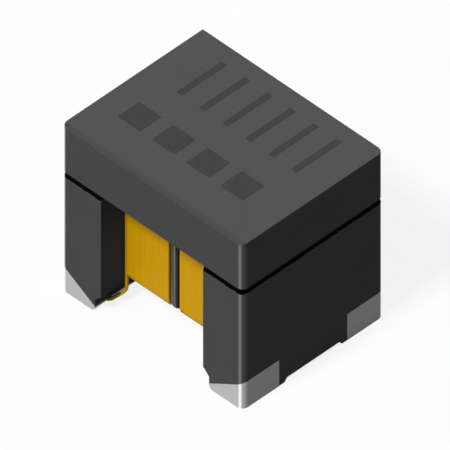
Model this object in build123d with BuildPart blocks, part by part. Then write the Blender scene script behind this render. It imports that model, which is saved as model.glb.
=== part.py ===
from build123d import *

import os
from math import sqrt

os.makedirs("parts", exist_ok=True)

# A surface-mount common mode choke, in millimetres.
# X runs along the body through both flanges, Y across it, Z up from the board.
# The front is the side at minus Y, where the windings show between the flanges.

# Ferrite body
body_length = 3.20
body_width = 2.50
corner_radius = 0.10
core_height = 1.92
flange_thickness = 0.70

# Plate across the flange tops, with its long upper edge rounded at the front
plate_thickness = 0.768
plate_edge_radius = 0.11

# Adhesive beds between the flanges and the plate
glue_thickness = 0.088
glue_inset = 0.015

# Feet, where the flanges stand back from the window near the board
foot_relief = 0.105
foot_relief_height = 0.30
foot_edge_radius = 0.08
foot_gap_width = 1.02
foot_gap_height = 0.06
foot_gap_angle = 50

# Winding core between the flanges
spool_width = 1.484
spool_height = 1.15
spool_bottom = 0.448
spool_radius = 0.04

# Divider rib round the middle of the winding core
divider_thickness = 0.10
divider_width = 1.76
divider_height = 1.246
divider_bottom = 0.40
divider_bevel = 0.10
divider_rim_radius = 0.045

# Enamelled wire, wound in two layers on each half of the winding core
wire_diameter = 0.047
wire_clearance = 0.002
wire_sides = 6

# Tinned terminals, a thin skin let into each foot
plating_thickness = 0.02
terminal_width = 0.65
terminal_height = 0.44
terminal_toe_height = 0.083

# Grooves under the feet, where the wire ends are soldered
groove_inset = 0.25
groove_width = 0.08
groove_depth = 0.075
groove_length = 0.34
bond_lift = 0.030
bond_margin = 0.03
mouth_length = 0.03

# Bends of the leads on their way down to the grooves
lead_drop_height = 0.24
lead_turn_height = 0.06
lead_turn_shift = 0.015

# Heights and places that follow from the sizes above
end_x = body_length / 2
side_y = body_width / 2
window_x = end_x - flange_thickness
foot_x = window_x + foot_relief
plate_bottom = core_height + glue_thickness
spool_top = spool_bottom + spool_height
groove_y = side_y - groove_inset
groove_end_x = foot_x + groove_length

# The wire lies a clearance off what it is wound on and off the turn beside it
wire_radius = wire_diameter / 2
wire_pitch = wire_diameter + wire_clearance
first_column_x = window_x - wire_clearance - wire_radius
column_count = int((window_x - divider_thickness / 2 - wire_clearance) / wire_pitch)
last_column = column_count - 1


def foot_block(inset, height):
    """The front left foot from its end face to its inner side, pulled in by an inset."""
    with BuildPart() as block:
        with BuildSketch(Plane.XY.offset(inset)):
            with Locations((-end_x + inset, -side_y + inset)):
                Rectangle(end_x - foot_x - 2 * inset, terminal_width, align=Align.MIN)
        extrude(amount=height)
        upright = block.edges().filter_by(Axis.Z).group_by(Axis.X)[0].sort_by(Axis.Y)[0]
        fillet(upright, corner_radius - inset)
        toe = block.edges().filter_by(Axis.Y).group_by(Axis.Z)[0].sort_by(Axis.X)[-1]
        fillet(toe, foot_edge_radius - inset)
    return block.part


def all_feet(piece):
    """The front left piece and its three mirror images, keyed by foot."""
    front_right = mirror(piece, about=Plane.YZ)
    return {
        "front_left": piece,
        "front_right": front_right,
        "back_left": mirror(piece, about=Plane.XZ),
        "back_right": mirror(front_right, about=Plane.XZ),
    }


# Groove under the front left foot, open towards the window
with BuildPart() as groove:
    with BuildSketch(Plane.XY):
        with Locations((-groove_end_x, -groove_y)):
            Rectangle(groove_length + foot_relief, groove_width, align=(Align.MIN, Align.CENTER))
    extrude(amount=groove_depth)
grooves = all_feet(groove.part)

# Terminal: the skin of the foot under a line that falls from the end face to the toe
with BuildPart() as terminal:
    add(foot_block(0, terminal_height))
    with BuildSketch(Plane.XZ.offset(side_y)):
        with BuildLine():
            Polyline((-end_x, 0), (-end_x, terminal_height), (-foot_x, terminal_toe_height),
                     (-foot_x, 0), close=True)
        make_face()
    extrude(amount=-terminal_width, mode=Mode.INTERSECT)
    add(foot_block(plating_thickness, terminal_height), mode=Mode.SUBTRACT)
    add(groove.part, mode=Mode.SUBTRACT)
terminals = all_feet(terminal.part)

# Solder: fills the groove round the wire end, level with the terminal's underside
with BuildPart() as solder:
    with BuildSketch(Plane.XY):
        with Locations((-groove_end_x, -groove_y)):
            Rectangle(groove_length - foot_edge_radius, groove_width,
                      align=(Align.MIN, Align.CENTER))
    extrude(amount=groove_depth)
    with BuildSketch(Plane.YZ.offset(-groove_end_x + bond_margin)):
        with Locations((-groove_y, bond_lift)):
            RegularPolygon(wire_radius, wire_sides, major_radius=False)
    extrude(amount=groove_length, mode=Mode.SUBTRACT)
solders = all_feet(solder.part)

# Divider: a rib with rounded rims round the middle of the winding core
with BuildPart() as divider:
    with BuildSketch(Plane.YZ.offset(-divider_thickness / 2)):
        with Locations((0, divider_bottom + divider_height / 2)):
            divider_outline = Rectangle(divider_width, divider_height)
        chamfer(divider_outline.vertices(), divider_bevel)
    extrude(amount=divider_thickness)
    rims = divider.edges().group_by(Axis.X)
    fillet(rims[0] + rims[-1], divider_rim_radius)

# Drum core: two flanges on their feet, the winding core and the divider, pressed in one
with BuildPart() as drum_core:
    with BuildSketch(Plane.XZ.offset(-side_y)):
        with BuildLine():
            Polyline((end_x, 0), (end_x, core_height), (window_x, core_height),
                     (window_x, foot_relief_height), (foot_x, foot_relief_height - foot_relief),
                     (foot_x, 0), close=True)
        flange_face = make_face()
        fillet(flange_face.vertices().group_by(Axis.Y)[0].sort_by(Axis.X)[0], foot_edge_radius)
    extrude(amount=body_width)
    fillet(drum_core.edges().filter_by(Axis.Z).group_by(Axis.X)[-1], corner_radius)
    mirror(about=Plane.YZ)
    with BuildSketch(Plane.YZ.offset(-window_x)):
        with Locations((0, spool_bottom + spool_height / 2)):
            RectangleRounded(spool_width, spool_height, spool_radius)
    extrude(amount=2 * window_x)
    add(divider.part)
    with BuildSketch(Plane.YZ.offset(-end_x)):
        with Locations((0, foot_gap_height / 2)):
            Trapezoid(foot_gap_width, foot_gap_height, foot_gap_angle)
    extrude(amount=body_length, mode=Mode.SUBTRACT)
    for foot in grooves:
        add(grooves[foot], mode=Mode.SUBTRACT)
        add(terminals[foot], mode=Mode.SUBTRACT)

# Top plate: square-edged at its ends and its back, rounded along its front
with BuildPart() as top_plate:
    with BuildSketch(Plane.XY.offset(plate_bottom)):
        RectangleRounded(body_length, body_width, corner_radius)
    extrude(amount=plate_thickness)
    with BuildSketch(Plane.YZ.offset(-end_x)):
        with Locations((0, plate_bottom + plate_thickness / 2)):
            plate_end = Rectangle(body_width, plate_thickness)
        front_corner = plate_end.vertices().group_by(Axis.Y)[-1].sort_by(Axis.X)[0]
        fillet(front_corner, plate_edge_radius)
    extrude(amount=body_length, mode=Mode.INTERSECT)

# Adhesive bed on the left flange, set in a little from its edges
with BuildPart() as glue_left:
    with BuildSketch(Plane.XY.offset(core_height)):
        with Locations((-end_x + glue_inset, 0)):
            bed = Rectangle(flange_thickness - 2 * glue_inset, body_width - 2 * glue_inset,
                            align=(Align.MIN, Align.CENTER))
        fillet(bed.vertices().group_by(Axis.X)[0], corner_radius - glue_inset)
    extrude(amount=glue_thickness)

with BuildPart() as glue_right:
    add(mirror(glue_left.part, about=Plane.YZ))


def column(index):
    """The x place of a column of turns in the left winding, counted from the flange."""
    return index * wire_pitch - first_column_x


def corner_points(x, side_sign, at_top, layer, side_first):
    """The two ends of the short bend that takes the wire round a corner of the winding core."""
    lift = wire_clearance + wire_radius + layer * wire_pitch
    side = spool_width / 2 + lift
    bend = (spool_radius + lift) * (2 - sqrt(2))
    level = spool_top + lift if at_top else spool_bottom - lift
    on_side = (x, side_sign * side, level - bend if at_top else level + bend)
    on_flat = (x, side_sign * (side - bend), level)
    return [on_side, on_flat] if side_first else [on_flat, on_side]


def over(up_x, down_x, layer):
    """From the back over the top to the front, stepping to the next column on the way."""
    back = corner_points(up_x, 1, True, layer, side_first=True)
    return back + corner_points(down_x, -1, True, layer, side_first=False)


def under(x, front_layer, back_layer):
    """From the front under the winding core to the back, in one column."""
    front = corner_points(x, -1, False, front_layer, side_first=True)
    return front + corner_points(x, 1, False, back_layer, side_first=False)


def lead(side_sign, layer):
    """From the soldered end in the groove up to where the wire meets the winding."""
    side = side_sign * (spool_width / 2 + wire_clearance + wire_radius + layer * wire_pitch)
    turn_x = foot_x - wire_clearance - wire_radius
    return [
        (-groove_end_x + bond_margin, side_sign * groove_y, bond_lift),
        (-foot_x - mouth_length, side_sign * groove_y, bond_lift),
        (-turn_x, side_sign * (groove_y - lead_turn_shift), lead_turn_height),
        (column(0), side, lead_drop_height),
    ]


# Route of the left wire: out from the back foot, along the winding core in the inner layer,
# back to the flange in the outer layer, and down to the front foot
route = lead(1, 0)
for index in range(last_column):
    outer_next = 1 if index == last_column - 1 else 0
    route += over(column(index), column(index + 1), 0)
    route += under(column(index + 1), 0, outer_next)
for index in range(last_column, 1, -1):
    route += over(column(index), column(index - 1), 1)
    route += under(column(index - 1), 1, 1)
route += over(column(1), column(0), 1)
route += reversed(lead(-1, 1))

# Windings: one continuous enamelled wire each
with BuildPart() as winding_left:
    with BuildLine():
        Polyline(*route)
    with BuildSketch(Plane(origin=route[0], z_dir=(1, 0, 0))):
        RegularPolygon(wire_radius, wire_sides)
    sweep(transition=Transition.RIGHT, clean=False)

with BuildPart() as winding_right:
    add(mirror(winding_left.part, about=Plane.YZ))

drum_core.part.label = "drum_core"
export_step(drum_core.part, "parts/drum_core.step")
top_plate.part.label = "top_plate"
export_step(top_plate.part, "parts/top_plate.step")
glue_left.part.label = "glue_left"
export_step(glue_left.part, "parts/glue_left.step")
glue_right.part.label = "glue_right"
export_step(glue_right.part, "parts/glue_right.step")
winding_left.part.label = "winding_left"
export_step(winding_left.part, "parts/winding_left.step")
winding_right.part.label = "winding_right"
export_step(winding_right.part, "parts/winding_right.step")
for foot in terminals:
    terminals[foot].label = f"terminal_{foot}"
    export_step(terminals[foot], f"parts/terminal_{foot}.step")
    solders[foot].label = f"solder_{foot}"
    export_step(solders[foot], f"parts/solder_{foot}.step")
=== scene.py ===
# %% [markdown]
# # A surface-mount common mode choke
#
# This lesson dresses a very small electronic part, 3.2 mm long: a ferrite drum core with a ferrite
# plate bonded on top, two enamelled copper windings between the flanges, and four tinned feet.
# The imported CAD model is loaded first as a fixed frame. Nearly every piece that we model stands in
# for one of its nodes, at the same place, with finer edges and a proper finish. Only the fused
# enamel and the printed marks are added to it.

# %% Load the frame
import math
import random

import bmesh
import bpy
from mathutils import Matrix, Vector


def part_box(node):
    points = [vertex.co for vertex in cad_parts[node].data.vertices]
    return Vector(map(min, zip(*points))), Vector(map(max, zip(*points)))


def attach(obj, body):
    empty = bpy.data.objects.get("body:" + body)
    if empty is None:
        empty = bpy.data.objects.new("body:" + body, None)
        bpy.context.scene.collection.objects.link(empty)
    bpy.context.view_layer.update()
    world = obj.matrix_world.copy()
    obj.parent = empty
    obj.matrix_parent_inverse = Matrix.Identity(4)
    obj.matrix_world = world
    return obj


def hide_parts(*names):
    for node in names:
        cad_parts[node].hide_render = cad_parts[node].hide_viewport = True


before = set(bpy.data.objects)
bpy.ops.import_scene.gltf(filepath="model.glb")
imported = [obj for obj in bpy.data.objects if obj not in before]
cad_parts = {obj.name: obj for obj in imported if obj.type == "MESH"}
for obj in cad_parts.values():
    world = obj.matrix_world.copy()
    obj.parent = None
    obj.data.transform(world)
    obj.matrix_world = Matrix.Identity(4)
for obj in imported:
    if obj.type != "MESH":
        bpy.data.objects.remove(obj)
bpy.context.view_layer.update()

# %% [markdown]
# ## Working a thousand times larger
#
# Blender's tools merge points that lie closer than a tenth of a millimetre, which would ruin a part
# of this size. So each piece is modelled with one unit for a millimetre, and scaled down to metres
# as its last step. The places come from the boxes of the CAD nodes, read in millimetres.

# %% Sizes in millimetres
MM = 0.001


def node_box(node):
    """The lowest and highest corner of a CAD node, in millimetres."""
    low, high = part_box(node)
    return low / MM, high / MM


core_high = node_box("drum_core")[1]
plate_low, plate_high = node_box("top_plate")
glue_low, glue_high = node_box("glue_left")
terminal_high = node_box("terminal_front_left")[1]
solder_low, solder_high = node_box("solder_front_left")

END_X = core_high.x
SIDE_Y = core_high.y
CORE_TOP = core_high.z
GLUE_INSET = glue_low.x + END_X
WINDOW_X = -glue_high.x - GLUE_INSET
FOOT_X = -terminal_high.x
print("window half width", round(WINDOW_X, 4), "foot inner side", round(FOOT_X, 4))

# %% [markdown]
# ## The camera
#
# The photograph shows parallel edges that stay parallel, so the camera is orthographic. It could be
# turned by hand until it fits. Here its direction follows from two angles instead, which were
# worked out from the slopes of the edges. It stands to the front right and above, and it is aimed
# at a point near the middle of the plate's underside, which puts the part where the photograph has
# it.

# %% Camera
AZIMUTH = math.radians(45)
ELEVATION = math.radians(42.26)
PIXELS_PER_MM = 80.13
PICTURE_SIZE = 450
AIM = Vector((0.0212, 0.0212, 1.3035)) * MM
CAMERA_DISTANCE = 30 * MM
NEAREST_SEEN = 1 * MM
FARTHEST_SEEN = 1000 * MM

towards_camera = Vector((
    math.sin(AZIMUTH) * math.cos(ELEVATION),
    -math.cos(AZIMUTH) * math.cos(ELEVATION),
    math.sin(ELEVATION),
))
camera_data = bpy.data.cameras.new("camera")
camera_data.type = "ORTHO"
camera_data.ortho_scale = PICTURE_SIZE / PIXELS_PER_MM * MM
camera_data.clip_start = NEAREST_SEEN
camera_data.clip_end = FARTHEST_SEEN
camera = bpy.data.objects.new("camera", camera_data)
camera.location = AIM + towards_camera * CAMERA_DISTANCE
camera.rotation_euler = towards_camera.to_track_quat("Z", "Y").to_euler()
bpy.context.scene.collection.objects.link(camera)
bpy.context.scene.camera = camera
bpy.context.scene.view_settings.view_transform = "Standard"
print("picture width in millimetres:", round(PICTURE_SIZE / PIXELS_PER_MM, 3))

# %% [markdown]
# ## The light
#
# The top of the part is the brightest, the long front side a little darker, and the end face on the
# right is almost in shade. One broad sun from the front and above gives that. A weak one from
# behind keeps the back readable from other angles. Area lamps would do as well, but the strength of
# a sun doesn't depend on distance, which is a help on so small a part: a strength of pi lights a
# surface that faces the sun so that its colour shows as it is written.

# %% Lights
KEY_FROM = (-0.02, -0.576, 0.79)
KEY_LEVEL = 0.985
KEY_SOFTNESS = 12
BACK_FROM = (-0.25, 0.9, 0.35)
BACK_LEVEL = 0.30
BACK_SOFTNESS = 40


def add_sun(name, direction, level, softness):
    """A sun from a direction. Level 1 shows a colour as written. Softness is in degrees."""
    data = bpy.data.lights.new(name, "SUN")
    data.energy = level * math.pi
    data.angle = math.radians(softness)
    sun = bpy.data.objects.new(name, data)
    sun.rotation_euler = Vector(direction).to_track_quat("Z", "Y").to_euler()
    bpy.context.scene.collection.objects.link(sun)
    return sun


suns = [
    add_sun("key_sun", KEY_FROM, KEY_LEVEL, KEY_SOFTNESS),
    add_sun("back_sun", BACK_FROM, BACK_LEVEL, BACK_SOFTNESS),
]
print("suns:", ", ".join(sun.name for sun in suns))

# %% [markdown]
# The photograph has a plain white background and soft shades. A white world that sheds as much
# light as it shows would wash the part out. So the camera, and anything glossy, sees a white world,
# while the light that it sheds on the part is much weaker: Light Path tells the two apart.

# %% World
FILL_LEVEL = 0.15
WHITE = (1.0, 1.0, 1.0, 1.0)

world = bpy.data.worlds.new("studio")
bpy.context.scene.world = world
world.use_nodes = True
world_nodes = world.node_tree.nodes
world_links = world.node_tree.links
background = world_nodes["Background"]
background.inputs["Color"].default_value = WHITE


def seen_directly(nodes, links):
    """A value that is 1 for camera, glossy and transmission rays, and 0 for the rest."""
    path = nodes.new("ShaderNodeLightPath")
    first = nodes.new("ShaderNodeMath")
    first.operation = "MAXIMUM"
    links.new(path.outputs["Is Camera Ray"], first.inputs[0])
    links.new(path.outputs["Is Glossy Ray"], first.inputs[1])
    both = nodes.new("ShaderNodeMath")
    both.operation = "MAXIMUM"
    links.new(first.outputs[0], both.inputs[0])
    links.new(path.outputs["Is Transmission Ray"], both.inputs[1])
    return both.outputs[0]


world_strength = world_nodes.new("ShaderNodeMapRange")
world_strength.inputs["To Min"].default_value = FILL_LEVEL
world_strength.inputs["To Max"].default_value = 1.0
world_links.new(seen_directly(world_nodes, world_links), world_strength.inputs["Value"])
world_links.new(world_strength.outputs["Result"], background.inputs["Strength"])
print("fill level:", FILL_LEVEL)

# %% [markdown]
# The part stands on a plain pale floor. A white one in full light would throw too much light back
# up. So the plane glows nearly white for what sees it directly, and its own grey adds the rest
# where the suns reach it, so that the part keeps a soft shadow under it.

# %% Floor
FLOOR_SIZE = 400
FLOOR_DROP = 0.002
FLOOR_GLOW = 0.85
FLOOR_TONE = (0.14, 0.14, 0.14, 1.0)
FLOOR_ROUGHNESS = 0.9

bpy.ops.object.select_all(action="DESELECT")
bpy.ops.mesh.primitive_plane_add(size=FLOOR_SIZE * MM, location=(0, 0, -FLOOR_DROP * MM))
floor = bpy.context.object
floor.name = "floor"
floor_material = bpy.data.materials.new("pale_floor")
floor_material.use_nodes = True
floor_nodes = floor_material.node_tree.nodes
floor_links = floor_material.node_tree.links
floor_shader = floor_nodes["Principled BSDF"]
floor_shader.inputs["Base Color"].default_value = FLOOR_TONE
floor_shader.inputs["Roughness"].default_value = FLOOR_ROUGHNESS
floor_shader.inputs["Specular IOR Level"].default_value = 0.0
floor_shader.inputs["Emission Color"].default_value = WHITE
floor_glow = floor_nodes.new("ShaderNodeMath")
floor_glow.operation = "MULTIPLY"
floor_glow.inputs[1].default_value = FLOOR_GLOW
floor_links.new(seen_directly(floor_nodes, floor_links), floor_glow.inputs[0])
floor_links.new(floor_glow.outputs[0], floor_shader.inputs["Emission Strength"])
floor.data.materials.append(floor_material)
print("floor level in millimetres:", -FLOOR_DROP)

# %% [markdown]
# ## Starting a piece
#
# Nearly everything on this part was pressed, cut or plated square, so each piece starts from a
# block that fills its box. It could be typed in as a list of points, but a block that is shaped in
# edit mode shows every step. The helpers below add the block, and select its edges, faces or points
# by their place, because an operator acts on whatever is selected.

# %% Helpers that start and select
SLACK = 0.001
CUT_SLACK = 0.00001


def choose_object(piece):
    """Makes one piece the only selected and the active object."""
    bpy.ops.object.select_all(action="DESELECT")
    piece.select_set(True)
    bpy.context.view_layer.objects.active = piece


def start_block(name, low, high):
    """A cube primitive fitted to a box, with its size and place in its mesh."""
    low, high = Vector(low), Vector(high)
    bpy.ops.object.select_all(action="DESELECT")
    bpy.ops.mesh.primitive_cube_add(size=1, location=(low + high) / 2)
    piece = bpy.context.object
    piece.name = name
    piece.data.name = name
    piece.scale = high - low
    bpy.ops.object.transform_apply(location=True, rotation=True, scale=True)
    return piece


def start_editing(piece):
    """Opens one piece in edit mode."""
    choose_object(piece)
    bpy.ops.object.mode_set(mode="EDIT")


def stop_editing():
    """Goes back to object mode."""
    bpy.ops.object.mode_set(mode="OBJECT")


def pick(piece, kind, test):
    """In edit mode, selects the vertices, edges or faces that pass a test."""
    bpy.ops.mesh.select_all(action="DESELECT")
    bpy.ops.mesh.select_mode(type=kind)
    mesh = bmesh.from_edit_mesh(piece.data)
    items = {"VERT": mesh.verts, "EDGE": mesh.edges, "FACE": mesh.faces}[kind]
    for item in items:
        if test(item):
            item.select_set(True)
    mesh.select_flush_mode()
    bmesh.update_edit_mesh(piece.data)


def near(value, wanted):
    """True if a value is within a micron of what is wanted."""
    return abs(value - wanted) < SLACK


def runs_along(edge, axis):
    """True if an edge lies along the X, Y or Z axis, given as 0, 1 or 2."""
    step = edge.verts[1].co - edge.verts[0].co
    return abs(abs(step[axis]) - step.length) < SLACK * step.length


def middle_of(edge):
    """The point halfway along an edge."""
    return (edge.verts[0].co + edge.verts[1].co) / 2


def slice_across(place, direction, clear_above=False):
    """Cuts the whole mesh in edit mode with a plane, and may throw away what lies above it."""
    bpy.ops.mesh.select_all(action="SELECT")
    bpy.ops.mesh.bisect(plane_co=place, plane_no=direction, use_fill=clear_above,
                        clear_outer=clear_above, threshold=CUT_SLACK)


# %% [markdown]
# ## Shared shader groups
#
# Some finishes share an effect, such as the grain of what was pressed or plated. It could be built
# again in each material. A node group is made once instead, and each material sets its inputs. The
# helpers below add nodes and put a group's sockets in place.

# %% Helpers for shader nodes


def add_node(tree, kind, **settings):
    """A new shader node with its settings, given by name."""
    node = tree.nodes.new(kind)
    for key, value in settings.items():
        setattr(node, key, value)
    return node


def new_group(name, inputs, outputs):
    """A shader node group with float sockets, given as name and default value."""
    group = bpy.data.node_groups.new(name, "ShaderNodeTree")
    for socket, value in inputs.items():
        made = group.interface.new_socket(name=socket, in_out="INPUT", socket_type="NodeSocketFloat")
        made.default_value = value
    for socket in outputs:
        group.interface.new_socket(name=socket, in_out="OUTPUT", socket_type="NodeSocketFloat")
    return group, add_node(group, "NodeGroupInput"), add_node(group, "NodeGroupOutput")


def math_node(tree, operation, first, second=None):
    """A math node whose inputs are sockets or numbers."""
    node = add_node(tree, "ShaderNodeMath", operation=operation)
    for socket, value in zip(node.inputs, (first, second)):
        if value is None:
            continue
        if isinstance(value, (int, float)):
            socket.default_value = value
        else:
            tree.links.new(value, socket)
    return node.outputs[0]


# %% [markdown]
# Pressed ferrite and plated tin both show a fine grain with soft blotches. An image could carry
# them, but a noise needs no unwrapping and never blurs from close by. The group mixes a fine noise
# with a coarse one, and gives a tone and a height for the bump.

# %% Fine grain
NOISE_MIDDLE = 0.5
FINE_DETAIL = 3
BLOTCH_DETAIL = 2
BLOTCH_SHARE = 0.7


def grain_group():
    """Tone is near 1 and varies by the contrast. Height drives a bump."""
    group, given, result = new_group(
        "fine_grain",
        {"Grain Scale": 60000, "Blotch Scale": 1500, "Contrast": 0.1},
        ("Tone", "Height"),
    )
    place = add_node(group, "ShaderNodeTexCoord").outputs["Object"]
    fine = add_node(group, "ShaderNodeTexNoise", noise_dimensions="3D")
    fine.inputs["Detail"].default_value = FINE_DETAIL
    coarse = add_node(group, "ShaderNodeTexNoise", noise_dimensions="3D")
    coarse.inputs["Detail"].default_value = BLOTCH_DETAIL
    for noise, scale in ((fine, "Grain Scale"), (coarse, "Blotch Scale")):
        group.links.new(place, noise.inputs["Vector"])
        group.links.new(given.outputs[scale], noise.inputs["Scale"])
    both = math_node(group, "ADD", fine.outputs["Fac"],
                     math_node(group, "MULTIPLY", coarse.outputs["Fac"], BLOTCH_SHARE))
    swing = math_node(group, "SUBTRACT", both, NOISE_MIDDLE * (1 + BLOTCH_SHARE))
    varied = math_node(group, "MULTIPLY", swing, given.outputs["Contrast"])
    group.links.new(math_node(group, "ADD", varied, 1.0), result.inputs["Tone"])
    group.links.new(fine.outputs["Fac"], result.inputs["Height"])
    return group


FINE_GRAIN = grain_group()
print("group:", FINE_GRAIN.name)

# %% [markdown]
# A highlight line is painted down the rounded upright corners, close to where they run into the long
# sides. The line could be painted by hand. The normal finds it better, since both of its level parts
# are large only on a corner. A second test on the place leaves out the edges between the flanges and
# the window, which get no painted highlight. It keeps the divider in the middle, whose round rims get
# the same painted highlight.

# %% Painted highlight on the corners


# Painted highlight: this mask places a bright line on the upright corners.
def corner_highlight_group():
    """Mask of the painted highlight: 1 on the outer upright corners and the divider's rims, 0 beside
    the window.
    """
    group, given, result = new_group(
        "painted_corner_highlight",
        {"Corner From": 0.15, "Corner To": 0.38, "Fade From": 0.50, "Fade To": 0.72,
         "Window From": 0.0002, "Window To": 0.0013},
        ("Mask",),
    )
    coordinates = add_node(group, "ShaderNodeTexCoord")
    split = add_node(group, "ShaderNodeSeparateXYZ")
    group.links.new(coordinates.outputs["Normal"], split.inputs[0])
    across = math_node(group, "MULTIPLY", split.outputs["X"], split.outputs["Y"])
    ramps = []
    for value, start, stop in (
        (math_node(group, "ABSOLUTE", across), "Corner From", "Corner To"),
        (math_node(group, "ABSOLUTE", split.outputs["X"]), "Fade From", "Fade To"),
    ):
        ramp = add_node(group, "ShaderNodeMapRange", interpolation_type="SMOOTHSTEP")
        group.links.new(value, ramp.inputs["Value"])
        group.links.new(given.outputs[start], ramp.inputs["From Min"])
        group.links.new(given.outputs[stop], ramp.inputs["From Max"])
        ramps.append(ramp)
    ramps[1].inputs["To Min"].default_value = 1.0
    ramps[1].inputs["To Max"].default_value = 0.0
    mask = math_node(group, "MULTIPLY", ramps[0].outputs["Result"], ramps[1].outputs["Result"])
    place = add_node(group, "ShaderNodeSeparateXYZ")
    group.links.new(coordinates.outputs["Object"], place.inputs[0])
    along = math_node(group, "ABSOLUTE", place.outputs["X"])
    inside = math_node(group, "LESS_THAN", along, given.outputs["Window From"])
    outside = math_node(group, "GREATER_THAN", along, given.outputs["Window To"])
    reached = math_node(group, "MAXIMUM", inside, outside)
    group.links.new(math_node(group, "MULTIPLY", mask, reached), result.inputs["Mask"])
    return group


CORNER_HIGHLIGHT = corner_highlight_group()
print("group:", CORNER_HIGHLIGHT.name)

# %% [markdown]
# Each turn of wire lies a little differently and catches its own share of light. Each turn could
# have a material of its own. A noise along X, about one step to a turn, does it with one.

# %% Tone of each turn
TURN_DETAIL = 2


def turns_group():
    """Tone is near 1 and changes from turn to turn along X, as light does on wound wire."""
    group, given, result = new_group("turn_tones", {"Turn Scale": 7000, "Contrast": 0.2}, ("Tone",))
    split = add_node(group, "ShaderNodeSeparateXYZ")
    group.links.new(add_node(group, "ShaderNodeTexCoord").outputs["Object"], split.inputs[0])
    bands = add_node(group, "ShaderNodeTexNoise", noise_dimensions="1D")
    bands.inputs["Detail"].default_value = TURN_DETAIL
    group.links.new(split.outputs["X"], bands.inputs["W"])
    group.links.new(given.outputs["Turn Scale"], bands.inputs["Scale"])
    swing = math_node(group, "SUBTRACT", bands.outputs["Fac"], NOISE_MIDDLE)
    varied = math_node(group, "MULTIPLY", swing, given.outputs["Contrast"])
    group.links.new(math_node(group, "ADD", varied, 1.0), result.inputs["Tone"])
    return group


TURN_TONES = turns_group()
print("group:", TURN_TONES.name)

# %% [markdown]
# ## Materials
#
# Each finish has a Principled shader of its own, so that it can be tuned alone. The grain group
# multiplies its colour and feeds its bump. Numbers that are the same all over the surface are set
# straight on the shader.

# %% Helpers for materials


def new_material(name, color, roughness, grain, bump, **constants):
    """A Principled material with the fine grain on its colour and its bump, in millimetres."""
    material = bpy.data.materials.new(name)
    material.use_nodes = True
    tree = material.node_tree
    shader = tree.nodes["Principled BSDF"]
    shader.inputs["Roughness"].default_value = roughness
    for socket, value in constants.items():
        shader.inputs[socket.replace("_", " ")].default_value = value
    grain_node = add_node(tree, "ShaderNodeGroup", node_tree=FINE_GRAIN)
    for socket, value in grain.items():
        grain_node.inputs[socket].default_value = value
    tinted = add_node(tree, "ShaderNodeVectorMath", operation="SCALE")
    tinted.inputs[0].default_value = color
    tree.links.new(grain_node.outputs["Tone"], tinted.inputs["Scale"])
    tree.links.new(tinted.outputs["Vector"], shader.inputs["Base Color"])
    if bump:
        bump_node = add_node(tree, "ShaderNodeBump")
        bump_node.inputs["Strength"].default_value = 1.0
        bump_node.inputs["Distance"].default_value = bump * MM
        tree.links.new(grain_node.outputs["Height"], bump_node.inputs["Height"])
        tree.links.new(bump_node.outputs["Normal"], shader.inputs["Normal"])
    return material


def paint_corner_highlight(material, socket):
    """Feeds the mask of the painted corner highlight to one socket of the shader."""
    tree = material.node_tree
    corners = add_node(tree, "ShaderNodeGroup", node_tree=CORNER_HIGHLIGHT)
    tree.links.new(corners.outputs["Mask"], tree.nodes["Principled BSDF"].inputs[socket])


# %% [markdown]
# Ferrite is a dark grey ceramic, dull where it left the press. A highlight line is painted down its
# upright corners. It could be a second, brighter material. A clear coat that shows only there paints
# the line without a border, and leaves the colour below as it is. The plate is from another pressing
# and a touch darker, so it has a material of its own.

# %% Ferrite
PRESSED = {
    "roughness": 0.7,
    "grain": {"Grain Scale": 42000, "Blotch Scale": 1400, "Contrast": 0.16},
    "bump": 0.0010,
    "Specular_IOR_Level": 0.03,
    "Coat_IOR": 2.0,
    "Coat_Roughness": 0.3,
}

ferrite = new_material("pressed_ferrite", (0.082, 0.082, 0.0825), **PRESSED)
# Painted highlight: a clear coat only along the upright corners, placed by the corner mask.
paint_corner_highlight(ferrite, "Coat Weight")
ferrite_plate = new_material("pressed_ferrite_plate", (0.081, 0.081, 0.0815), **PRESSED)
paint_corner_highlight(ferrite_plate, "Coat Weight")
print("materials:", ferrite.name, ferrite_plate.name)

# %% [markdown]
# The plate's long upper edge rolls off at the front, where the key sun falls brightest, so painted
# shade keeps that strip a little darker than the faces on either side. It could have a material of
# its own, with a hard border. The normal gives a soft one: minus Y times Z is large only where a face
# leans to the front and upwards at once. A Map Range turns it into the painted shade, which
# multiplies the colour.

# %% Painted shade on the front edge of the plate
# Painted shade on the rolled front edge: its colour is multiplied down to this share.
ROLL_SHADE = 0.83
ROLL_LEAN_FROM = 0.02
ROLL_LEAN_TO = 0.20

plate_tree = ferrite_plate.node_tree
plate_color = plate_tree.nodes["Principled BSDF"].inputs["Base Color"]
facing = add_node(plate_tree, "ShaderNodeSeparateXYZ")
plate_tree.links.new(add_node(plate_tree, "ShaderNodeTexCoord").outputs["Normal"], facing.inputs[0])
frontwards = math_node(plate_tree, "MULTIPLY", facing.outputs["Y"], -1.0)
leaning = math_node(plate_tree, "MULTIPLY", frontwards, facing.outputs["Z"])
roll_shade = add_node(plate_tree, "ShaderNodeMapRange", interpolation_type="SMOOTHSTEP")
roll_shade.inputs["From Min"].default_value = ROLL_LEAN_FROM
roll_shade.inputs["From Max"].default_value = ROLL_LEAN_TO
roll_shade.inputs["To Min"].default_value = 1.0
roll_shade.inputs["To Max"].default_value = ROLL_SHADE
plate_tree.links.new(leaning, roll_shade.inputs["Value"])
shaded_color = add_node(plate_tree, "ShaderNodeVectorMath", operation="SCALE")
plate_tree.links.new(plate_color.links[0].from_socket, shaded_color.inputs[0])
plate_tree.links.new(roll_shade.outputs["Result"], shaded_color.inputs["Scale"])
plate_tree.links.new(shaded_color.outputs["Vector"], plate_color)
print("tone of the rolled edge:", ROLL_SHADE)

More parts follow.
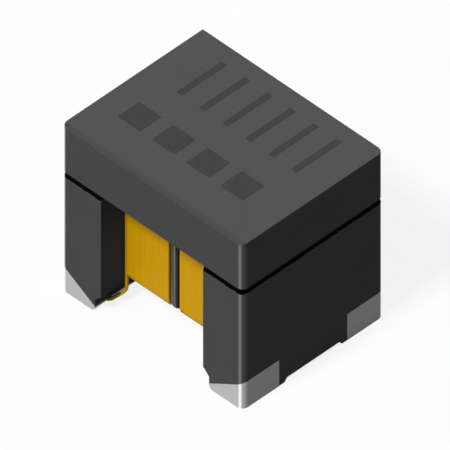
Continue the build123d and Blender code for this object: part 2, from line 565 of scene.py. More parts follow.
# %% [markdown]
# The adhesive is an epoxy, nearly black and without a gloss. Plain black would do from afar. Coarser
# blotches in its tone, and a bump, show from close by that it was spread and not moulded.

# %% Adhesive
adhesive = new_material(
    "black_adhesive", (0.002, 0.002, 0.002), roughness=0.6,
    grain={"Grain Scale": 20000, "Blotch Scale": 3000, "Contrast": 0.4}, bump=0.0008,
    Specular_IOR_Level=0.005,
)
print("material:", adhesive.name)

# %% [markdown]
# Solder is the brighter of the two metals under the feet, with a satin skin that is a little uneven
# from cooling. The marks on the plate are an ink only a shade darker than the ferrite, so they get
# the same dull finish with larger blotches, as ink has where it lies thinner.

# %% Solder and ink
solder_metal = new_material(
    "satin_solder", (0.60, 0.60, 0.59), roughness=0.35,
    grain={"Grain Scale": 30000, "Blotch Scale": 6000, "Contrast": 0.14}, bump=0.0015,
    Metallic=0.5,
)
ink = new_material(
    "dark_marking", (0.052, 0.052, 0.0523), roughness=0.7,
    grain={"Grain Scale": 42000, "Blotch Scale": 6000, "Contrast": 0.22}, bump=0.0008,
    Specular_IOR_Level=0.03,
)
print("materials:", solder_metal.name, ink.name)

# %% [markdown]
# Tin is plated, not pressed: a frosted skin that scatters light much as pale paint does. A highlight
# line is painted down its upright corners, where its colour turns brighter and it turns to bright
# metal. Metal all over would mirror the room and lose the soft grey of the photograph. So the corner
# mask drives its colour and Metallic here, each through a Map Range.

# %% Tin
TIN_GREY = 0.645
# The painted corner highlight: a brighter grey and more metal along the upright corners.
TIN_HIGHLIGHT_GREY = 0.96
TIN_METALLIC = 0.03
TIN_HIGHLIGHT_METALLIC = 0.90


def spread(tree, socket, low, high):
    """Turns a mask from 0 to 1 into a value from low to high."""
    node = add_node(tree, "ShaderNodeMapRange")
    node.inputs["To Min"].default_value = low
    node.inputs["To Max"].default_value = high
    tree.links.new(socket, node.inputs["Value"])
    return node.outputs["Result"]


tin = new_material(
    "matte_tin", (TIN_GREY, TIN_GREY, TIN_GREY), roughness=0.45,
    grain={"Grain Scale": 60000, "Blotch Scale": 4000, "Contrast": 0.08}, bump=0.0010,
    Specular_IOR_Level=0.05,
)
# Painted highlight: the corner mask makes the tin brighter and more metallic along its upright
# corners.
paint_corner_highlight(tin, "Metallic")
tin_tree = tin.node_tree
tin_inputs = tin_tree.nodes["Principled BSDF"].inputs
highlight_mask = tin_inputs["Metallic"].links[0].from_socket
tin_tree.links.new(spread(tin_tree, highlight_mask, TIN_METALLIC, TIN_HIGHLIGHT_METALLIC), tin_inputs["Metallic"])
highlight_tint = add_node(tin_tree, "ShaderNodeVectorMath", operation="SCALE")
tin_tree.links.new(tin_inputs["Base Color"].links[0].from_socket, highlight_tint.inputs[0])
tin_tree.links.new(spread(tin_tree, highlight_mask, 1.0, TIN_HIGHLIGHT_GREY / TIN_GREY), highlight_tint.inputs["Scale"])
tin_tree.links.new(highlight_tint.outputs["Vector"], tin_inputs["Base Color"])
print("material:", tin.name)

# %% [markdown]
# The enamel is amber over bright copper. Light falls a little differently on every turn of a wound
# wire, so the tone of each turn is multiplied in. The ferrite beside the windings is as grey in the
# photograph as anywhere else, so for light that bounces on, which Light Path tells from what the
# camera sees, the enamel is a grey of the same depth.

# %% Enamelled copper
BOUNCE_GREY = (0.3, 0.3, 0.3, 1.0)
TURN_CONTRAST = 0.16

enamel = new_material(
    "amber_enamel_on_copper", (0.775, 0.415, 0.002), roughness=0.45,
    grain={"Grain Scale": 30000, "Blotch Scale": 2500, "Contrast": 0.08}, bump=0.0,
    Metallic=0.15, Specular_IOR_Level=0.03, Coat_Weight=0.03, Coat_Roughness=0.2,
)
enamel_tree = enamel.node_tree
enamel_color = enamel_tree.nodes["Principled BSDF"].inputs["Base Color"]
turn_tones = add_node(enamel_tree, "ShaderNodeGroup", node_tree=TURN_TONES)
turn_tones.inputs["Contrast"].default_value = TURN_CONTRAST
amber = add_node(enamel_tree, "ShaderNodeVectorMath", operation="SCALE")
enamel_tree.links.new(enamel_color.links[0].from_socket, amber.inputs[0])
enamel_tree.links.new(turn_tones.outputs["Tone"], amber.inputs["Scale"])
bounced = add_node(enamel_tree, "ShaderNodeMix", data_type="RGBA")
bounced.inputs["B"].default_value = BOUNCE_GREY
enamel_tree.links.new(add_node(enamel_tree, "ShaderNodeLightPath").outputs["Is Diffuse Ray"],
                      bounced.inputs["Factor"])
enamel_tree.links.new(amber.outputs["Vector"], bounced.inputs["A"])
enamel_tree.links.new(bounced.outputs["Result"], enamel_color)
print("material:", enamel.name)

# %% [markdown]
# ## The drum core
#
# The drum core is one pressed ferrite piece: two flanges, a winding core between them, and a thin
# divider rib round its middle. Half of one flange is modelled, with its foot, and everything else
# follows by mirroring. It starts as a block. Two slices let its inner side step back near the
# board, under a chamfer, and a limited dissolve then removes the lines they left on the flat sides.
# The toe and the upright corner are rounded with the bevel tool.

# %% Half a flange
RELIEF_TOP = 0.30
RELIEF = FOOT_X - WINDOW_X
TOE_RADIUS = 0.08
CORNER_RADIUS = 0.10
CORNER_STEPS = 8
FLAT_ANGLE = math.radians(1)


def round_corner(piece, x, y, radius):
    """Rounds the upright edge of a block at a place."""
    pick(piece, "EDGE", lambda e: runs_along(e, 2) and near(middle_of(e).x, x)
         and near(middle_of(e).y, y))
    bpy.ops.mesh.bevel(offset=radius, segments=CORNER_STEPS, affect="EDGES")


def round_toe(piece, x, z, radius):
    """Rounds the level edge of a block that runs along Y at a place."""
    pick(piece, "EDGE", lambda e: runs_along(e, 1) and near(middle_of(e).x, x)
         and near(middle_of(e).z, z))
    bpy.ops.mesh.bevel(offset=radius, segments=CORNER_STEPS, affect="EDGES")


flange = start_block("flange", (-END_X, -SIDE_Y, 0), (-WINDOW_X, 0, CORE_TOP))
start_editing(flange)
slice_across((0, 0, RELIEF_TOP), (0, 0, 1))
slice_across((0, 0, RELIEF_TOP - RELIEF), (0, 0, 1))
pick(flange, "VERT", lambda v: near(v.co.x, -WINDOW_X) and v.co.z < RELIEF_TOP - RELIEF + SLACK)
bpy.ops.transform.translate(value=(-RELIEF, 0, 0))
bpy.ops.mesh.select_all(action="SELECT")
bpy.ops.mesh.dissolve_limited(angle_limit=FLAT_ANGLE)
round_toe(flange, -FOOT_X, 0, TOE_RADIUS)
round_corner(flange, -END_X, -SIDE_Y, CORNER_RADIUS)
stop_editing()
print("half a flange, points:", len(flange.data.vertices))

# %% [markdown]
# Pieces are joined and cut with the Boolean modifier. It may leave points that lie on each other and
# slivers without area, so what it leaves is merged and checked each time with the helpers below.

# %% Helpers that join, cut and clean
MERGE_DISTANCE = 0.0005
TINY_AREA = 1e-7


def apply_modifier(piece, kind, **settings):
    """Adds a modifier, sets it, and applies it at once."""
    choose_object(piece)
    bpy.ops.object.modifier_add(type=kind)
    modifier = piece.modifiers[-1]
    for key, value in settings.items():
        setattr(modifier, key, value)
    bpy.ops.object.modifier_apply(modifier=modifier.name)


def combine(piece, other, operation):
    """Joins another closed piece to this one, or cuts it away, and removes the other."""
    apply_modifier(piece, "BOOLEAN", operation=operation, object=other, solver="EXACT")
    bpy.data.objects.remove(other)


def clean_up(piece):
    """Merges points that lie on each other, drops faces without area, and turns all outwards."""
    start_editing(piece)
    bpy.ops.mesh.select_all(action="SELECT")
    bpy.ops.mesh.remove_doubles(threshold=MERGE_DISTANCE)
    bpy.ops.mesh.dissolve_degenerate(threshold=MERGE_DISTANCE)
    bpy.ops.mesh.normals_make_consistent(inside=False)
    stop_editing()


def report_mesh(piece):
    """Prints how many edges are not shared by exactly two faces, and how many faces are tiny."""
    mesh = bmesh.new()
    mesh.from_mesh(piece.data)
    loose = sum(1 for edge in mesh.edges if len(edge.link_faces) != 2)
    tiny = sum(1 for face in mesh.faces if face.calc_area() < TINY_AREA)
    print(piece.name, "faces:", len(mesh.faces), "open edges:", loose, "tiny faces:", tiny)
    mesh.free()


# %% [markdown]
# A real pressed edge is never knife sharp, so a fine bevel softens them all, but for those at the
# middle of the flange, where its other half will join on. Then a shallow gap with sloping sides
# parts the front foot from the back one. It could be cut out of the faces one by one. A block with
# one side moved, taken out with a Boolean, is quicker and leaves clean edges.

# %% Fine edges and foot gap
FINE_EDGE = 0.007
FINE_STEPS = 3
SHARP_ANGLE = math.radians(35)
FOOT_GAP_HEIGHT = 0.06
FOOT_GAP_Y = 0.46
FOOT_GAP_SPREAD = 0.05
BEYOND = 0.1

start_editing(flange)
pick(flange, "EDGE", lambda e: e.calc_face_angle(0) > SHARP_ANGLE and not near(middle_of(e).y, 0))
bpy.ops.mesh.bevel(offset=FINE_EDGE, segments=FINE_STEPS, affect="EDGES")
stop_editing()
gap = start_block("foot_gap", (-END_X - BEYOND, -FOOT_GAP_Y, -BEYOND),
                  (-WINDOW_X + BEYOND, BEYOND, FOOT_GAP_HEIGHT))
start_editing(gap)
pick(gap, "VERT", lambda v: near(v.co.z, -BEYOND) and near(v.co.y, -FOOT_GAP_Y))
gap_lean = FOOT_GAP_SPREAD * (FOOT_GAP_HEIGHT + BEYOND) / FOOT_GAP_HEIGHT
bpy.ops.transform.translate(value=(0, -gap_lean, 0))
stop_editing()
combine(flange, gap, "DIFFERENCE")
clean_up(flange)
report_mesh(flange)

# %% [markdown]
# Tin will lie flush in the foot, so the ferrite is cut back by the thickness of the plating. Its
# faces could be moved inwards one by one, but then the rounded edges would have to be mended. So all
# of the foot under the sloping line is taken off, and a slightly smaller foot is put back in its
# place. Then the groove for the wire end is cut into its underside.

# %% Foot
PLATING = 0.02
TOE_HEIGHT = 0.083
GROOVE_Y = 1.0
GROOVE_HALF_WIDTH = 0.04
GROOVE_END_X = -solder_low.x
GROOVE_DEPTH = solder_high.z
TERMINAL_TOP = terminal_high.z
TERMINAL_INNER_Y = terminal_high.y
MOUTH = 0.06
SINK = 0.05

slope = Vector((TERMINAL_TOP - TOE_HEIGHT, 0, END_X - FOOT_X)).normalized()
space = start_block("foot_space", (-END_X - BEYOND, -SIDE_Y - BEYOND, -BEYOND),
                    (-FOOT_X + MOUTH, TERMINAL_INNER_Y, TERMINAL_TOP + BEYOND))
start_editing(space)
slice_across((-END_X, 0, TERMINAL_TOP), slope, clear_above=True)
stop_editing()
combine(flange, space, "DIFFERENCE")
heart = start_block("foot_heart", (-END_X + PLATING, -SIDE_Y + PLATING, PLATING),
                    (-FOOT_X - PLATING, TERMINAL_INNER_Y + SINK, TERMINAL_TOP + SINK))
start_editing(heart)
round_toe(heart, -FOOT_X - PLATING, PLATING, TOE_RADIUS - PLATING)
round_corner(heart, -END_X + PLATING, -SIDE_Y + PLATING, CORNER_RADIUS - PLATING)
stop_editing()
combine(flange, heart, "UNION")
groove = start_block("groove", (-GROOVE_END_X, -GROOVE_Y - GROOVE_HALF_WIDTH, -BEYOND),
                     (-FOOT_X + MOUTH, -GROOVE_Y + GROOVE_HALF_WIDTH, GROOVE_DEPTH))
combine(flange, groove, "DIFFERENCE")
report_mesh(flange)

# %% [markdown]
# Most pieces of this part come in mirrored pairs. A linked copy would share its mesh with the first,
# so each copy is given a mesh of its own. Mirroring turns a mesh inside out, so its normals are
# turned outwards again.

# %% Helpers that copy and mirror


def copy_of(piece, name):
    """A copy of a piece with a mesh of its own."""
    twin = piece.copy()
    twin.data = piece.data.copy()
    twin.name = name
    twin.data.name = name
    bpy.context.scene.collection.objects.link(twin)
    return twin


def mirrored(piece, name, axis):
    """A copy turned over across the middle of the part, with its faces pointing outwards."""
    twin = copy_of(piece, name)
    twin.scale[axis] = -1
    choose_object(twin)
    bpy.ops.object.transform_apply(location=True, rotation=True, scale=True)
    start_editing(twin)
    bpy.ops.mesh.select_all(action="SELECT")
    bpy.ops.mesh.normals_make_consistent(inside=False)
    stop_editing()
    return twin


# %% [markdown]
# The pressing is the same front and back, and left and right, so one half of a flange gives all four
# halves. The face at the middle is deleted and the Mirror modifier adds the back half, with its
# foot. The right flange is a mirrored copy of the whole.

# %% Two flanges
FACING = 0.9
SEAM_SLACK = 0.0001

start_editing(flange)
pick(flange, "FACE", lambda f: f.normal.y > FACING and near(f.calc_center_median().y, 0))
bpy.ops.mesh.delete(type="FACE")
stop_editing()
apply_modifier(flange, "MIRROR", use_axis=(False, True, False), merge_threshold=SEAM_SLACK)
clean_up(flange)
right_flange = mirrored(flange, "right_flange", 0)
report_mesh(right_flange)

# %% [markdown]
# The winding core is a plain bar with softly rounded edges. It could be extruded from the inside of
# a flange. A block of its own is simpler, and it reaches into both flanges, so that a Boolean can
# unite them.

# %% Winding core
SPOOL_HALF_WIDTH = 0.742
SPOOL_BOTTOM = 0.448
SPOOL_TOP = 1.598
SPOOL_RADIUS = 0.04
SPOOL_STEPS = 5
SPOOL_SINK = 0.2

spool = start_block("spool", (-WINDOW_X - SPOOL_SINK, -SPOOL_HALF_WIDTH, SPOOL_BOTTOM),
                    (WINDOW_X + SPOOL_SINK, SPOOL_HALF_WIDTH, SPOOL_TOP))
start_editing(spool)
pick(spool, "EDGE", lambda e: runs_along(e, 0))
bpy.ops.mesh.bevel(offset=SPOOL_RADIUS, segments=SPOOL_STEPS, affect="EDGES")
stop_editing()
report_mesh(spool)

# %% [markdown]
# The divider keeps the two windings apart. It is a thin slab with rounded corners, and its rims are
# rounded over until they nearly meet, like the edge of a coin. It could start from a flat cylinder,
# but its outline is nearly square, so it starts from a block. The corners are bevelled first, so
# that the bevel of the rims can run round them.

# %% Divider
DIVIDER_HALF_THICKNESS = 0.05
DIVIDER_HALF_WIDTH = 0.88
DIVIDER_BOTTOM = 0.40
DIVIDER_TOP = 1.646
DIVIDER_CORNER = 0.15
DIVIDER_RIM = 0.048
RIM_STEPS = 6

divider = start_block("divider", (-DIVIDER_HALF_THICKNESS, -DIVIDER_HALF_WIDTH, DIVIDER_BOTTOM),
                      (DIVIDER_HALF_THICKNESS, DIVIDER_HALF_WIDTH, DIVIDER_TOP))
start_editing(divider)
pick(divider, "EDGE", lambda e: runs_along(e, 0))
bpy.ops.mesh.bevel(offset=DIVIDER_CORNER, segments=CORNER_STEPS, affect="EDGES")
pick(divider, "EDGE", lambda e: near(abs(middle_of(e).x), DIVIDER_HALF_THICKNESS)
     and not runs_along(e, 0))
bpy.ops.mesh.bevel(offset=DIVIDER_RIM, segments=RIM_STEPS, affect="EDGES")
stop_editing()
report_mesh(divider)

# %% [markdown]
# All four are one pressed piece. Blocks that only overlap would look the same from outside, but they
# would keep faces inside each other. The Boolean modifier unites them into one closed piece.

# %% One core
core = flange
combine(core, spool, "UNION")
combine(core, right_flange, "UNION")
combine(core, divider, "UNION")
clean_up(core)
report_mesh(core)

# %% [markdown]
# ## The terminals
#
# Tin covers the outside of each foot: the end face up to a level line, the side face under a
# sloping line, the underside, and the rounded toe. It could be a colour on the ferrite, but real
# plating is a skin with a thickness and an edge that catches light. One foot is modelled as a block
# that is sliced along the slope and rounded, then the faces that carry no tin are deleted, and
# Solidify turns the remaining skin into plating, inwards.

# %% One terminal
TIN_EDGE = 0.004
TIN_EDGE_STEPS = 2


def soften_edges(piece, width, segments=FINE_STEPS, angle=SHARP_ANGLE):
    """A fine rounding along every sharp edge, as pressed or plated edges have."""
    apply_modifier(piece, "BEVEL", width=width, segments=segments, limit_method="ANGLE",
                   angle_limit=angle, use_clamp_overlap=True)


terminal = start_block("terminal", (-END_X, -SIDE_Y, 0), (-FOOT_X, TERMINAL_INNER_Y, TERMINAL_TOP))
start_editing(terminal)
slice_across((-END_X, 0, TERMINAL_TOP), slope, clear_above=True)
round_toe(terminal, -FOOT_X, 0, TOE_RADIUS)
round_corner(terminal, -END_X, -SIDE_Y, CORNER_RADIUS)
for edge_y in (-GROOVE_Y - GROOVE_HALF_WIDTH, -GROOVE_Y + GROOVE_HALF_WIDTH):
    slice_across((0, edge_y, 0), (0, 1, 0))
slice_across((-GROOVE_END_X, 0, 0), (1, 0, 0))
pick(terminal, "FACE", lambda f: f.normal.dot(slope) > FACING or f.normal.y > FACING)
bpy.ops.mesh.delete(type="FACE")
pick(terminal, "FACE", lambda f: abs(f.calc_center_median().y + GROOVE_Y) < GROOVE_HALF_WIDTH
     and f.calc_center_median().x > -GROOVE_END_X and f.normal.y > -FACING)
bpy.ops.mesh.delete(type="FACE")
stop_editing()
apply_modifier(terminal, "SOLIDIFY", thickness=PLATING, offset=-1, use_even_offset=True)
soften_edges(terminal, TIN_EDGE, segments=TIN_EDGE_STEPS)
clean_up(terminal)
report_mesh(terminal)

# %% [markdown]
# The other three feet mirror the first: across the middle of the length, across the middle of the
# width, or across both. All four could be built from the start, but a helper that mirrors one of
# them serves the solder as well.

# %% Four terminals
OTHER_FEET = {"front_right": (0,), "back_left": (1,), "back_right": (0, 1)}


def on_every_foot(piece, name):
    """The front left piece and its mirror images, each with its own mesh, keyed by foot."""
    made = {"front_left": piece}
    for foot, axes in OTHER_FEET.items():
        twin = piece
        for axis in axes:
            previous = twin
            twin = mirrored(twin, f"{name}_{foot}", axis)
            if previous is not piece:
                bpy.data.objects.remove(previous)
        twin.name = f"{name}_{foot}"
        made[foot] = twin
    return made


terminals = on_every_foot(terminal, "terminal")
print("terminals:", ", ".join(terminals))

# %% [markdown]
# ## The top plate
#
# A flat ferrite plate bridges the two flanges and closes the magnetic path. Its upright corners
# and its long upper edge at the front are rounded, with different radii, and bevelling all of them
# on one block makes a knot where they meet. So the plate is the overlap of two blocks: one has the
# rounded corners, as seen from above, and the other the rounded edge, as seen from its end. That
# edge rolls off wide but not deep, so its block is stretched upwards before it is bevelled, and
# pressed flat again after it. The photograph shows the back and end edges crisp, and so is the
# corner at the back left, where the plate was cut apart from the next one. A slice at last, just
# under the rounded edge, keeps its shading from running on down the upright corners.

# %% Top plate
ROLL_WIDTH = 0.14
ROLL_DEPTH = 0.028
ROLL_STEPS = 12
OVERLAP = 0.1
SHADING_STRIP = 0.02

stretch = ROLL_WIDTH / ROLL_DEPTH
plate = start_block("plate", plate_low, plate_high)
start_editing(plate)
bpy.ops.mesh.select_all(action="SELECT")
bpy.ops.transform.resize(value=(1, 1, stretch), center_override=plate_high)
pick(plate, "EDGE", lambda e: runs_along(e, 0) and near(middle_of(e).z, plate_high.z)
     and near(middle_of(e).y, plate_low.y))
bpy.ops.mesh.bevel(offset=ROLL_WIDTH, segments=ROLL_STEPS, affect="EDGES")
bpy.ops.mesh.select_all(action="SELECT")
bpy.ops.transform.resize(value=(1, 1, 1 / stretch), center_override=plate_high)
stop_editing()
outline = start_block("outline", plate_low - Vector((0, 0, OVERLAP)),
                      plate_high + Vector((0, 0, OVERLAP)))
start_editing(outline)
pick(outline, "EDGE", lambda e: runs_along(e, 2)
     and not (middle_of(e).x < 0 and middle_of(e).y > 0))
bpy.ops.mesh.bevel(offset=CORNER_RADIUS, segments=CORNER_STEPS, affect="EDGES")
stop_editing()
combine(plate, outline, "INTERSECT")
soften_edges(plate, FINE_EDGE)
start_editing(plate)
slice_across((0, 0, plate_high.z - ROLL_DEPTH - SHADING_STRIP), (0, 0, 1))
stop_editing()
clean_up(plate)
report_mesh(plate)

# %% [markdown]
# ## The adhesive
#
# Two beds of black adhesive hold the plate. It wets the flange below nearly out to the edge, and its
# rims are never quite straight, since it spreads as the plate is pressed on. A plain block would
# look machined. So the underside of each bed is widened, its straight rims are subdivided, and its
# points are moved in or out by a few microns.

# %% Adhesive beds
RIM_WANDER = 0.004
RIM_SPREAD = 0.012
STRAIGHT_RIM = 0.2
RIM_CUTS = 14
BED_CORNER_STEPS = 4
RANDOM_SEED = 11

random.seed(RANDOM_SEED)


def glue_bed(node, name):
    """A block with rounded outer corners, a wider underside and a slightly wandering rim."""
    low, high = node_box(node)
    middle = (low + high) / 2
    bed = start_block(name, low, high)
    start_editing(bed)
    pick(bed, "EDGE", lambda e: runs_along(e, 2) and near(abs(middle_of(e).x), END_X - GLUE_INSET))
    bpy.ops.mesh.bevel(offset=CORNER_RADIUS - GLUE_INSET, segments=BED_CORNER_STEPS,
                       affect="EDGES")
    pick(bed, "VERT", lambda v: near(v.co.z, low.z))
    bpy.ops.transform.resize(center_override=middle, value=(
        1 + RIM_SPREAD / (high.x - middle.x), 1 + RIM_SPREAD / (high.y - middle.y), 1))
    pick(bed, "EDGE", lambda e: e.calc_length() > STRAIGHT_RIM)
    bpy.ops.mesh.subdivide(number_cuts=RIM_CUTS)
    stop_editing()
    for vertex in bed.data.vertices:
        away = Vector((vertex.co.x - middle.x, vertex.co.y - middle.y, 0)).normalized()
        vertex.co += away * random.uniform(-RIM_WANDER, RIM_WANDER)
    return bed


beds = {node: glue_bed(node, f"{node}_bed") for node in ("glue_left", "glue_right")}
print("beds:", ", ".join(bed.name for bed in beds.values()))

# %% [markdown]
# ## The windings
#
# Each winding is one enamelled wire. It comes from the back foot, runs along the winding core in an
# inner layer, returns over it in an outer layer, and drops to the front foot. Rings side by side
# would look much the same from the front, but the real wire is one piece and shows it at its leads
# and ends. So a loop writes the corners of the whole route. The turns step sideways on top, where
# the plate hides them. The last turn beside the divider climbs into the outer layer at its end, and
# the photograph shows that the right wire has climbed already where it crosses the front.

# %% Corners of the wire's route
WIRE_DIAMETER = 0.047
WIRE_GAP = 0.002
WIRE_RADIUS = WIRE_DIAMETER / 2
WIRE_PITCH = WIRE_DIAMETER + WIRE_GAP
FIRST_COLUMN = WINDOW_X - WIRE_GAP - WIRE_RADIUS
COLUMN_COUNT = int((WINDOW_X - DIVIDER_HALF_THICKNESS - WIRE_GAP) / WIRE_PITCH)
BOND_LIFT = 0.030
BOND_MARGIN = 0.03
MOUTH_LENGTH = 0.03
LEAD_DROP = 0.17
LEAD_TURN = 0.06
LEAD_SHIFT = 0.015
LEAD_BEND = 0.05
LEAD_TOP_BEND = 0.10
WANDER = 0.0006


def column_x(index):
    """The place of a column of turns in the left winding, counted from the flange."""
    return index * WIRE_PITCH - FIRST_COLUMN


def layer_sizes(layer):
    """How far out the wire's middle lies, its lowest and highest level, and its bend radius."""
    lift = WIRE_GAP + WIRE_RADIUS + layer * WIRE_PITCH
    return SPOOL_HALF_WIDTH + lift, SPOOL_BOTTOM - lift, SPOOL_TOP + lift, SPOOL_RADIUS + lift


def lead_corners(side_sign, layer):
    """The corners from the soldered end of a lead up to where it meets the winding."""
    side = layer_sizes(layer)[0]
    return [
        (Vector((-GROOVE_END_X + BOND_MARGIN, side_sign * GROOVE_Y, BOND_LIFT)), 0),
        (Vector((-FOOT_X - MOUTH_LENGTH, side_sign * GROOVE_Y, BOND_LIFT)), LEAD_BEND),
        (Vector((-FOOT_X + WIRE_GAP + WIRE_RADIUS, side_sign * (GROOVE_Y - LEAD_SHIFT), LEAD_TURN)),
         LEAD_BEND),
        (Vector((column_x(0), side_sign * side, LEAD_DROP)), LEAD_TOP_BEND),
    ]


def turn_corners(up_x, down_x, top_layer, front_layer, back_layer):
    """The four corners of a turn: over the top with a step to the side, down, then under."""
    top_side, _, top_level, top_bend = layer_sizes(top_layer)
    front_side, front_low, _, front_bend = layer_sizes(front_layer)
    back_side, back_low, _, back_bend = layer_sizes(back_layer)
    wander = random.uniform(-WANDER, WANDER)
    return [
        (Vector((up_x, top_side, top_level)), top_bend),
        (Vector((down_x + wander, -front_side, top_level)), top_bend),
        (Vector((down_x + wander, -front_side, front_low)), front_bend),
        (Vector((down_x, back_side, back_low)), back_bend),
    ]


def winding_corners(last_front):
    """All corners of a wire on the left, from the back foot to the front one, with their bends.

    The last turn crosses the front in the inner layer, 0, or in the outer one, 1.
    """
    last = COLUMN_COUNT - 1
    corners = lead_corners(1, 0)
    for index in range(last - 1):
        corners += turn_corners(column_x(index), column_x(index + 1), 0, 0, 0)
    corners += turn_corners(column_x(last - 1), column_x(last), 0, last_front, 1)
    for index in range(last, 0, -1):
        corners += turn_corners(column_x(index), column_x(index - 1), 1, 1, 1)
    return corners[:-2] + lead_corners(-1, 1)[::-1]


left_corners = winding_corners(0)
right_corners = winding_corners(1)
print("columns:", COLUMN_COUNT, "corners:", len(left_corners))

# %% [markdown]
# A wire bends in arcs. The bevel tool could round a line, but not with another radius at each
# corner, so the arcs are worked out here: the inner layer lies tight round the core, the outer one
# has to clear the inner, and the leads bend more loosely.

# %% Rounded route
ARC_STEPS = 6


def rounded_route(corners):
    """The points of a route, with each corner replaced by an arc of its own radius."""
    points = [corners[0][0]]
    for (before, _), (here, radius), (after, _) in zip(corners, corners[1:], corners[2:]):
        back, ahead = (before - here).normalized(), (after - here).normalized()
        half = back.angle(ahead) / 2
        reach = radius / math.tan(half)
        centre = here + (back + ahead).normalized() * (radius / math.sin(half))
        start = here + back * reach - centre
        stop = here + ahead * reach - centre
        sweep = start.angle(stop)
        for step in range(ARC_STEPS + 1):
            share = step / ARC_STEPS
            first = math.sin((1 - share) * sweep) / math.sin(sweep)
            second = math.sin(share * sweep) / math.sin(sweep)
            points.append(centre + start * first + stop * second)
    points.append(corners[-1][0])
    return points


left_route = rounded_route(left_corners)
right_route = [Vector((-x, y, z)) for x, y, z in rounded_route(right_corners)]
print("points of the left wire:", len(left_route))

# %% [markdown]
# The wire itself is round. A curve that is given a bevel depth follows the route and stays even in
# every bend, which is hard to get by extruding a circle by hand. It is then converted to a mesh.
# The route of the right wire is turned over first, so that the two lie back to back.

# %% Wire meshes
WIRE_ROUNDNESS = 4


def wire_piece(name, points):
    """A round wire along the points, made as a curve and converted to a mesh."""
    curve = bpy.data.curves.new(name, "CURVE")
    curve.dimensions = "3D"
    curve.bevel_depth = WIRE_RADIUS
    curve.bevel_resolution = WIRE_ROUNDNESS
    curve.use_fill_caps = True
    line = curve.splines.new("POLY")
    line.points.add(len(points) - 1)
    for spot, point in zip(line.points, points):
        spot.co = (*point, 1)
    wire = bpy.data.objects.new(name, curve)
    bpy.context.scene.collection.objects.link(wire)
    choose_object(wire)
    bpy.ops.object.convert(target="MESH")
    wire = bpy.context.object
    clean_up(wire)
    return wire


left_wire = wire_piece("wire_left", left_route)
right_wire = wire_piece("wire_right", right_route)
report_mesh(left_wire)

# %% [markdown]
# The enamel is of the kind that fuses when it is warmed, so the turns of the outer layer are bonded
# to each other and the valleys between them are half filled. Filling each valley would take dozens
# of slim pieces. A sleeve round the winding, just inside the crests of the wire, does the same. It
# is one rounded block with another taken out of it, and its ends are hidden in the second turn and
# the last but one. On the front the outer layer reaches a turn further towards the flange, and on
# the right winding towards the divider as well, so a flat film widens the sleeve there.

# %% Fused enamel between the turns
FUSED_LEVEL = 0.80 * WIRE_RADIUS
FUSED_DEPTH = 0.3 * WIRE_RADIUS
SLEEVE_STEPS = 8


def rounded_bar(name, low_x, high_x, level):
    """A bar round the winding core whose surface lies a distance outside the wire's middle."""
    side, low, high, bend = layer_sizes(1)
    bar = start_block(name, (low_x, -side - level, low - level), (high_x, side + level, high + level))
    start_editing(bar)
    pick(bar, "EDGE", lambda e: runs_along(e, 0))
    bpy.ops.mesh.bevel(offset=bend + level, segments=SLEEVE_STEPS, affect="EDGES")
    stop_editing()
    return bar


def fused_sleeve(name, film_column):
    """A sleeve round the left winding, with a flat film on its front that reaches to a column."""
    start_x, stop_x = column_x(1), column_x(COLUMN_COUNT - 2)
    sleeve = rounded_bar(name, start_x, stop_x, FUSED_LEVEL)
    hollow = rounded_bar("sleeve_hollow", start_x - BEYOND, stop_x + BEYOND, -FUSED_DEPTH)
    combine(sleeve, hollow, "DIFFERENCE")
    side, low, high, bend = layer_sizes(1)
    film = start_block("film", (column_x(0), -side - FUSED_LEVEL, low + bend),
                       (column_x(film_column), -side + FUSED_DEPTH, high - bend))
    combine(sleeve, film, "UNION")
    clean_up(sleeve)
    return sleeve


left_bond = fused_sleeve("bond_left", COLUMN_COUNT - 2)
unturned_bond = fused_sleeve("bond_unturned", COLUMN_COUNT - 1)
right_bond = mirrored(unturned_bond, "bond_right", 0)
bpy.data.objects.remove(unturned_bond)
report_mesh(left_bond)
report_mesh(right_bond)

# %% [markdown]
# ## The solder
#
# Solder fills the groove round each wire end and holds it. Liquid metal could be sculpted, but the
# groove gives it its shape: a block with rounded edges, and a short tail, extruded and narrowed,
# that wets the wire where it leaves the foot.

# %% Solder
SOLDER_EDGE = 0.012
SOLDER_SHARP_ANGLE = math.radians(20)
SOLDER_RISE = 0.002
TAIL_INSET = 0.01
TAIL_STEP = (0.03, 0, -0.006)
TAIL_NARROWING = (1, 0.8, 0.8)

solder = start_block("solder", (solder_low.x, solder_low.y, SOLDER_RISE), solder_high)
start_editing(solder)
pick(solder, "FACE", lambda f: f.normal.x > FACING)
bpy.ops.mesh.inset(thickness=TAIL_INSET)
bpy.ops.mesh.extrude_region_move(TRANSFORM_OT_translate={"value": TAIL_STEP})
bpy.ops.transform.resize(value=TAIL_NARROWING)
bpy.ops.mesh.select_all(action="SELECT")
bpy.ops.mesh.normals_make_consistent(inside=False)
stop_editing()
soften_edges(solder, SOLDER_EDGE, angle=SOLDER_SHARP_ANGLE)
clean_up(solder)
solders = on_every_foot(solder, "solder_fill")
report_mesh(solder)

# %% [markdown]
# ## The markings
#
# The plate carries four plain squares and, behind them, a plain row of strokes. They could be drawn
# in the plate's material, but a thin body keeps a crisp rim from any distance. Each is as thin as
# ink and sunk into the ferrite so that only its top shows.

# %% Markings
MARK_THICKNESS = 0.003
MARK_SINK = 0.01
MARK_CORNER = 0.02
MARK_CORNER_STEPS = 4
SQUARE_COUNT = 4
SQUARE_X = 0.395
SQUARE_Y = 0.38
SQUARE_ROW_Y = -0.456
SQUARE_FIRST_X = -1.007
SQUARE_PITCH = 0.604
STROKE = 0.095
STROKE_LOW_Y = 0.19
STROKE_HIGH_Y = 0.99
STROKE_FIRST_X = -0.96
STROKE_PITCH = 0.405
STROKE_COUNT = 6


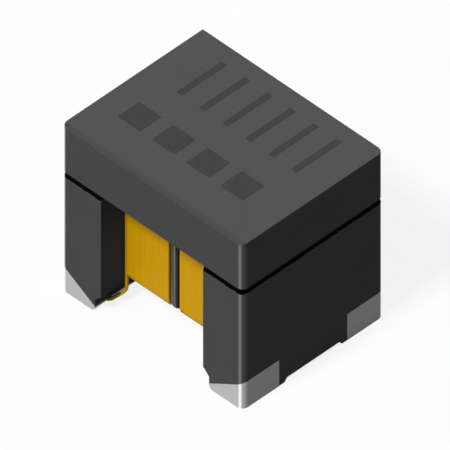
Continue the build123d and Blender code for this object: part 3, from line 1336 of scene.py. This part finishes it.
def add_mark(name, low_x, low_y, high_x, high_y):
    """A flat mark with slightly rounded corners, printed on the plate."""
    mark = start_block(name, (low_x, low_y, plate_high.z - MARK_SINK),
                       (high_x, high_y, plate_high.z + MARK_THICKNESS))
    start_editing(mark)
    pick(mark, "EDGE", lambda e: runs_along(e, 2))
    bpy.ops.mesh.bevel(offset=MARK_CORNER, segments=MARK_CORNER_STEPS, affect="EDGES")
    stop_editing()
    return mark


marks = []
for index in range(SQUARE_COUNT):
    middle_x = SQUARE_FIRST_X + index * SQUARE_PITCH
    marks.append(add_mark(f"mark_square_{index + 1}",
                          middle_x - SQUARE_X / 2, SQUARE_ROW_Y - SQUARE_Y / 2,
                          middle_x + SQUARE_X / 2, SQUARE_ROW_Y + SQUARE_Y / 2))
for index in range(STROKE_COUNT):
    middle_x = STROKE_FIRST_X + index * STROKE_PITCH
    marks.append(add_mark(f"mark_stroke_{index + 1}",
                          middle_x - STROKE / 2, STROKE_LOW_Y,
                          middle_x + STROKE / 2, STROKE_HIGH_Y))
print("marks:", len(marks))

# %% [markdown]
# ## Dress the pieces
#
# Up to here each piece is as large as a piece of furniture. Now its shading is smoothed, while it is
# still large, because the Weighted Normal modifier compares the areas of faces and can't tell very
# small ones apart. Then it is scaled down to metres, gets its material, and the CAD node that it
# stands for is hidden. Doing that in one function and in one place makes sure that no piece is left
# out.

# %% Dress
SMOOTH_ANGLE = math.radians(40)
FACE_WEIGHT = 100


def finish_piece(piece, material, node=None):
    """Smooths the shading of a piece, scales it down to metres, dresses it and ties it down."""
    report_mesh(piece)
    choose_object(piece)
    bpy.ops.object.shade_smooth_by_angle(angle=SMOOTH_ANGLE)
    apply_modifier(piece, "WEIGHTED_NORMAL", keep_sharp=True, weight=FACE_WEIGHT)
    piece.scale = (MM, MM, MM)
    bpy.ops.object.transform_apply(location=True, rotation=True, scale=True)
    piece.data.materials.clear()
    piece.data.materials.append(material)
    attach(piece, "root")
    if node:
        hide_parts(node)


core.name = "ferrite_core"
finish_piece(core, ferrite, "drum_core")
plate.name = "ferrite_top"
finish_piece(plate, ferrite_plate, "top_plate")
for node, bed in beds.items():
    finish_piece(bed, adhesive, node)
finish_piece(left_wire, enamel, "winding_left")
finish_piece(right_wire, enamel, "winding_right")
finish_piece(left_bond, enamel)
finish_piece(right_bond, enamel)
for foot, piece in terminals.items():
    piece.name = f"tin_{foot}"
    finish_piece(piece, tin, f"terminal_{foot}")
for foot, piece in solders.items():
    piece.name = f"fill_{foot}"
    finish_piece(piece, solder_metal, f"solder_{foot}")
for mark in marks:
    finish_piece(mark, ink)
